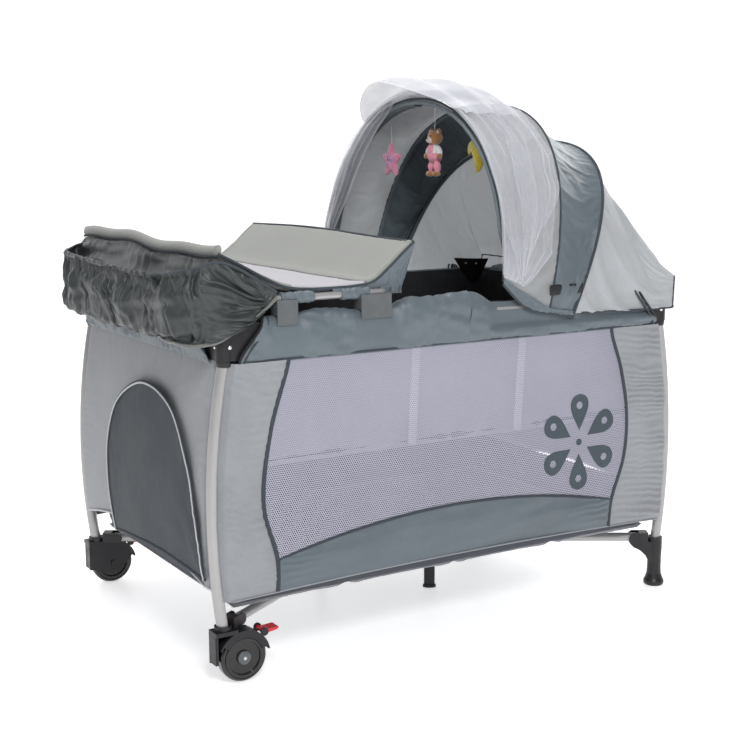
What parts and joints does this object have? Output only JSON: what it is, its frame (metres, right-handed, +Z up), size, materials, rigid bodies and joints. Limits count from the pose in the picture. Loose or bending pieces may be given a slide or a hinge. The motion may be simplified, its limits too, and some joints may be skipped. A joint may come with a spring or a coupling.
{
  "type": "travel play yard",
  "caption": "Folding travel play yard with mesh sides, bassinet insert, changing table with storage pocket, hooped canopy with net, hanging toys and rear casters.",
  "frame": {"origin": "on the floor, under the middle of the footprint of the four corner posts", "axes": "+X along the yard to the canopy end, +Y to the far long side, +Z up"},
  "size_m": [1.3479, 0.8348, 1.2533],
  "materials": {
    "steel_tube": "silver powder coat, fine satin",
    "black_plastic": "moulded black plastic, fine texture",
    "grey_plastic": "moulded grey plastic, satin",
    "wheel_plastic": "black wheel with a smooth tread",
    "brake_red": "glossy red plastic",
    "side_cloth": "grey polyester wall with a mesh window",
    "mattress_cloth": "quilted grey polyester",
    "tub_cloth": "dark polyester lining",
    "pad_cloth": "wipe-clean grey-beige cloth",
    "pocket_cloth": "dark grey nylon with elastic",
    "light_canopy": "light grey polyester",
    "dark_canopy": "slate grey polyester",
    "net_white": "white open net",
    "star_plush": "pink plush",
    "bear_plush": "brown plush in pink dungarees",
    "moon_plush": "yellow plush"
  },
  "bodies": {
    "root": {"hub_housing": "black_plastic", "mattress": "mattress_cloth", "bassinet": "tub_cloth", "canopy_mounts": "black_plastic", "hoop_rear": "steel_tube", "canopy_mid": "dark_canopy", "canopy_rear": "light_canopy"},
    "base_near_left": {"base_tube_near_left": "steel_tube"},
    "leg_near_left": {"post_near_left": "steel_tube", "bracket_near_left": "black_plastic", "caster_housing_near": "black_plastic", "near_side": "side_cloth"},
    "base_far_left": {"base_tube_far_left": "steel_tube", "centre_foot_far": "black_plastic"},
    "leg_far_left": {"post_far_left": "steel_tube", "bracket_far_left": "black_plastic", "caster_housing_far": "black_plastic", "left_end": "side_cloth"},
    "base_near_right": {"base_tube_near_right": "steel_tube", "centre_foot_near": "black_plastic"},
    "leg_near_right": {"post_near_right": "steel_tube", "bracket_near_right": "black_plastic", "foot_near": "black_plastic", "right_end": "side_cloth"},
    "base_far_right": {"base_tube_far_right": "steel_tube"},
    "leg_far_right": {"post_far_right": "steel_tube", "bracket_far_right": "black_plastic", "foot_far": "black_plastic", "far_side": "side_cloth"},
    "rail_near_left": {"rail_near_left": "steel_tube"},
    "rail_near_right": {"rail_near_right": "steel_tube"},
    "rail_far_left": {"rail_far_left": "steel_tube"},
    "rail_far_right": {"rail_far_right": "steel_tube"},
    "rail_left_near": {"rail_left_near": "steel_tube"},
    "rail_left_far": {"rail_left_far": "steel_tube"},
    "rail_right_near": {"rail_right_near": "steel_tube"},
    "rail_right_far": {"rail_right_far": "steel_tube"},
    "lock_near": {"lock_near": "black_plastic"},
    "button_near": {"button_near": "grey_plastic"},
    "lock_far": {"lock_far": "black_plastic"},
    "button_far": {"button_far": "grey_plastic"},
    "lock_left": {"lock_left": "black_plastic"},
    "button_left": {"button_left": "grey_plastic"},
    "lock_right": {"lock_right": "black_plastic"},
    "button_right": {"button_right": "grey_plastic"},
    "wheel_near": {"wheel_near": "wheel_plastic"},
    "brake_pedal_near": {"brake_pedal_near": "brake_red"},
    "wheel_far": {"wheel_far": "wheel_plastic"},
    "brake_pedal_far": {"brake_pedal_far": "brake_red"},
    "changer": {"changer_frame": "steel_tube", "changer_clips": "grey_plastic", "changer_pad": "pad_cloth", "organiser_pocket": "pocket_cloth"},
    "hoop_mid": {"hoop_mid": "steel_tube"},
    "hoop_front": {"hoop_front": "steel_tube", "canopy_front": "light_canopy", "net": "net_white"},
    "toy_moon": {"toy_moon": "moon_plush"},
    "toy_bear": {"toy_bear": "bear_plush"},
    "toy_star": {"toy_star": "star_plush"}
  },
  "joints": [
    {"name": "fold", "type": "hinge", "parent": "root", "child": "base_near_left", "pos_m": [-0.06782, -0.04244, 0.125], "axis": [0.5305, -0.8477, 0], "range_deg": [0, 80], "deforming": ["near_side", "far_side", "left_end", "right_end", "mattress", "bassinet"]},
    {"name": "leg_fold_near_left", "type": "hinge", "parent": "base_near_left", "child": "leg_near_left", "pos_m": [-0.56538, -0.35382, 0.125], "axis": [0.5305, -0.8477, 0], "range_deg": [-80, 0]},
    {"name": "base_fold_far_left", "type": "hinge", "parent": "root", "child": "base_far_left", "pos_m": [-0.06782, 0.04244, 0.125], "axis": [-0.5305, -0.8477, 0], "range_deg": [0, 80]},
    {"name": "leg_fold_far_left", "type": "hinge", "parent": "base_far_left", "child": "leg_far_left", "pos_m": [-0.56538, 0.35382, 0.125], "axis": [-0.5305, -0.8477, 0], "range_deg": [-80, 0]},
    {"name": "base_fold_near_right", "type": "hinge", "parent": "root", "child": "base_near_right", "pos_m": [0.06782, -0.04244, 0.125], "axis": [0.5305, 0.8477, 0], "range_deg": [0, 80]},
    {"name": "leg_fold_near_right", "type": "hinge", "parent": "base_near_right", "child": "leg_near_right", "pos_m": [0.56538, -0.35382, 0.125], "axis": [0.5305, 0.8477, 0], "range_deg": [-80, 0]},
    {"name": "base_fold_far_right", "type": "hinge", "parent": "root", "child": "base_far_right", "pos_m": [0.06782, 0.04244, 0.125], "axis": [-0.5305, 0.8477, 0], "range_deg": [0, 80]},
    {"name": "leg_fold_far_right", "type": "hinge", "parent": "base_far_right", "child": "leg_far_right", "pos_m": [0.56538, 0.35382, 0.125], "axis": [-0.5305, 0.8477, 0], "range_deg": [-80, 0]},
    {"name": "rail_near_left_fold", "type": "hinge", "parent": "leg_near_left", "child": "rail_near_left", "pos_m": [-0.544, -0.383, 0.75], "axis": [0, 1, 0], "range_deg": [0, 80]},
    {"name": "rail_near_right_fold", "type": "hinge", "parent": "leg_near_right", "child": "rail_near_right", "pos_m": [0.544, -0.383, 0.75], "axis": [0, -1, 0], "range_deg": [0, 80]},
    {"name": "rail_far_left_fold", "type": "hinge", "parent": "leg_far_left", "child": "rail_far_left", "pos_m": [-0.544, 0.383, 0.75], "axis": [0, 1, 0], "range_deg": [0, 80]},
    {"name": "rail_far_right_fold", "type": "hinge", "parent": "leg_far_right", "child": "rail_far_right", "pos_m": [0.544, 0.383, 0.75], "axis": [0, -1, 0], "range_deg": [0, 80]},
    {"name": "rail_left_near_fold", "type": "hinge", "parent": "leg_near_left", "child": "rail_left_near", "pos_m": [-0.596, -0.34, 0.75], "axis": [-1, 0, 0], "range_deg": [0, 80]},
    {"name": "rail_left_far_fold", "type": "hinge", "parent": "leg_far_left", "child": "rail_left_far", "pos_m": [-0.596, 0.34, 0.75], "axis": [1, 0, 0], "range_deg": [0, 80]},
    {"name": "rail_right_near_fold", "type": "hinge", "parent": "leg_near_right", "child": "rail_right_near", "pos_m": [0.596, -0.34, 0.75], "axis": [-1, 0, 0], "range_deg": [0, 80]},
    {"name": "rail_right_far_fold", "type": "hinge", "parent": "leg_far_right", "child": "rail_right_far", "pos_m": [0.596, 0.34, 0.75], "axis": [1, 0, 0], "range_deg": [0, 80]},
    {"name": "lock_near_fold", "type": "hinge", "parent": "rail_near_left", "child": "lock_near", "pos_m": [-0.04644, -0.383, 0.75], "axis": [0, 1, 0], "range_deg": [-80, 0]},
    {"name": "button_near_press", "type": "slide", "parent": "lock_near", "child": "button_near", "axis": [0, 0, 1], "range_m": [0, 0.005], "stiffness_N_per_m": 400},
    {"name": "lock_far_fold", "type": "hinge", "parent": "rail_far_left", "child": "lock_far", "pos_m": [-0.04644, 0.383, 0.75], "axis": [0, 1, 0], "range_deg": [-80, 0]},
    {"name": "button_far_press", "type": "slide", "parent": "lock_far", "child": "button_far", "axis": [0, 0, 1], "range_m": [0, 0.005], "stiffness_N_per_m": 400},
    {"name": "lock_left_fold", "type": "hinge", "parent": "rail_left_near", "child": "lock_left", "pos_m": [-0.596, -0.02862, 0.75], "axis": [-1, 0, 0], "range_deg": [-80, 0]},
    {"name": "button_left_press", "type": "slide", "parent": "lock_left", "child": "button_left", "axis": [0, 0, 1], "range_m": [0, 0.005], "stiffness_N_per_m": 400},
    {"name": "lock_right_fold", "type": "hinge", "parent": "rail_right_near", "child": "lock_right", "pos_m": [0.596, -0.02862, 0.75], "axis": [-1, 0, 0], "range_deg": [-80, 0]},
    {"name": "button_right_press", "type": "slide", "parent": "lock_right", "child": "button_right", "axis": [0, 0, 1], "range_m": [0, 0.005], "stiffness_N_per_m": 400},
    {"name": "wheel_near_spin", "type": "hinge", "parent": "leg_near_left", "child": "wheel_near", "pos_m": [-0.572, -0.388, 0.053], "axis": [0, 1, 0], "continuous": true},
    {"name": "brake_pedal_near_press", "type": "hinge", "parent": "leg_near_left", "child": "brake_pedal_near", "pos_m": [-0.524, -0.388, 0.102], "axis": [0, 1, 0], "range_deg": [0, 12]},
    {"name": "wheel_far_spin", "type": "hinge", "parent": "leg_far_left", "child": "wheel_far", "pos_m": [-0.572, 0.388, 0.053], "axis": [0, 1, 0], "continuous": true},
    {"name": "brake_pedal_far_press", "type": "hinge", "parent": "leg_far_left", "child": "brake_pedal_far", "pos_m": [-0.524, 0.388, 0.102], "axis": [0, 1, 0], "range_deg": [0, 12]},
    {"name": "changer_lift", "type": "slide", "parent": "root", "child": "changer", "axis": [0, 0, 1], "range_m": [0, 0.15]},
    {"name": "canopy_fold", "type": "hinge", "parent": "root", "child": "hoop_mid", "pos_m": [0.25, 0, 0.788], "axis": [0, 1, 0], "range_deg": [0, 18], "deforming": ["canopy_front", "canopy_mid", "net"]},
    {"name": "hoop_front_fold", "type": "hinge", "parent": "hoop_mid", "child": "hoop_front", "pos_m": [0.25, 0, 0.788], "axis": [0, 1, 0], "range_deg": [0, 12], "deforming": ["canopy_front", "canopy_mid", "net"]},
    {"name": "toy_moon_swing", "type": "hinge", "parent": "hoop_front", "child": "toy_moon", "pos_m": [0.177, -0.18169, 1.18336], "axis": [0, 1, 0], "range_deg": [-35, 20]},
    {"name": "toy_bear_swing", "type": "hinge", "parent": "hoop_front", "child": "toy_bear", "pos_m": [0.18072, 0, 1.21907], "axis": [0, 1, 0], "range_deg": [-35, 20]},
    {"name": "toy_star_swing", "type": "hinge", "parent": "hoop_front", "child": "toy_star", "pos_m": [0.17621, 0.19723, 1.17581], "axis": [0, 1, 0], "range_deg": [-35, 20]}
  ],
  "couplings": [
    {"joint": "leg_fold_near_left", "follows": "fold", "ratio": -1},
    {"joint": "base_fold_far_left", "follows": "fold", "ratio": 1},
    {"joint": "leg_fold_far_left", "follows": "fold", "ratio": -1},
    {"joint": "base_fold_near_right", "follows": "fold", "ratio": 1},
    {"joint": "leg_fold_near_right", "follows": "fold", "ratio": -1},
    {"joint": "base_fold_far_right", "follows": "fold", "ratio": 1},
    {"joint": "leg_fold_far_right", "follows": "fold", "ratio": -1},
    {"joint": "rail_near_left_fold", "follows": "fold", "ratio": 1},
    {"joint": "rail_near_right_fold", "follows": "fold", "ratio": 1},
    {"joint": "rail_far_left_fold", "follows": "fold", "ratio": 1},
    {"joint": "rail_far_right_fold", "follows": "fold", "ratio": 1},
    {"joint": "rail_left_near_fold", "follows": "fold", "ratio": 1},
    {"joint": "rail_left_far_fold", "follows": "fold", "ratio": 1},
    {"joint": "rail_right_near_fold", "follows": "fold", "ratio": 1},
    {"joint": "rail_right_far_fold", "follows": "fold", "ratio": 1},
    {"joint": "lock_near_fold", "follows": "fold", "ratio": -1},
    {"joint": "lock_far_fold", "follows": "fold", "ratio": -1},
    {"joint": "lock_left_fold", "follows": "fold", "ratio": -1},
    {"joint": "lock_right_fold", "follows": "fold", "ratio": -1},
    {"joint": "hoop_front_fold", "follows": "canopy_fold", "ratio": 0.66667}
  ]
}
